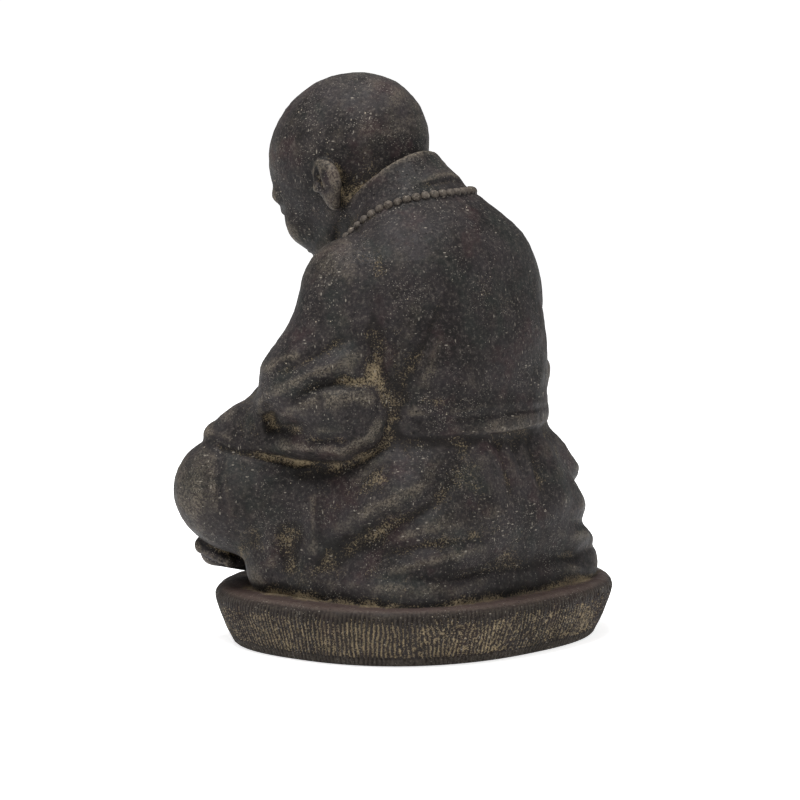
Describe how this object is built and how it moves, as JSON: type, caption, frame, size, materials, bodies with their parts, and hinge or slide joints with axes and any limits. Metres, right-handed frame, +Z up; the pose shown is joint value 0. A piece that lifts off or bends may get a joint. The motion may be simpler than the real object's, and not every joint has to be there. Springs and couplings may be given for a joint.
{
  "type": "seated monk garden statue",
  "caption": "Cast figure of a bald monk seated cross-legged with bowed head and pressed hands, on a low oval pad with chiselled sides.",
  "frame": {"origin": "middle of the underside of the pad", "axes": "+Z up, the monk faces -Y, his left side is +X"},
  "size_m": [0.2892, 0.2514, 0.3997],
  "materials": {
    "monk_statue": "matt weathered dark fibre cement, with sandy deposits in its creases and on the chiselled pad"
  },
  "bodies": {
    "root": {"monk_statue": "monk_statue"}
  },
  "joints": []
}
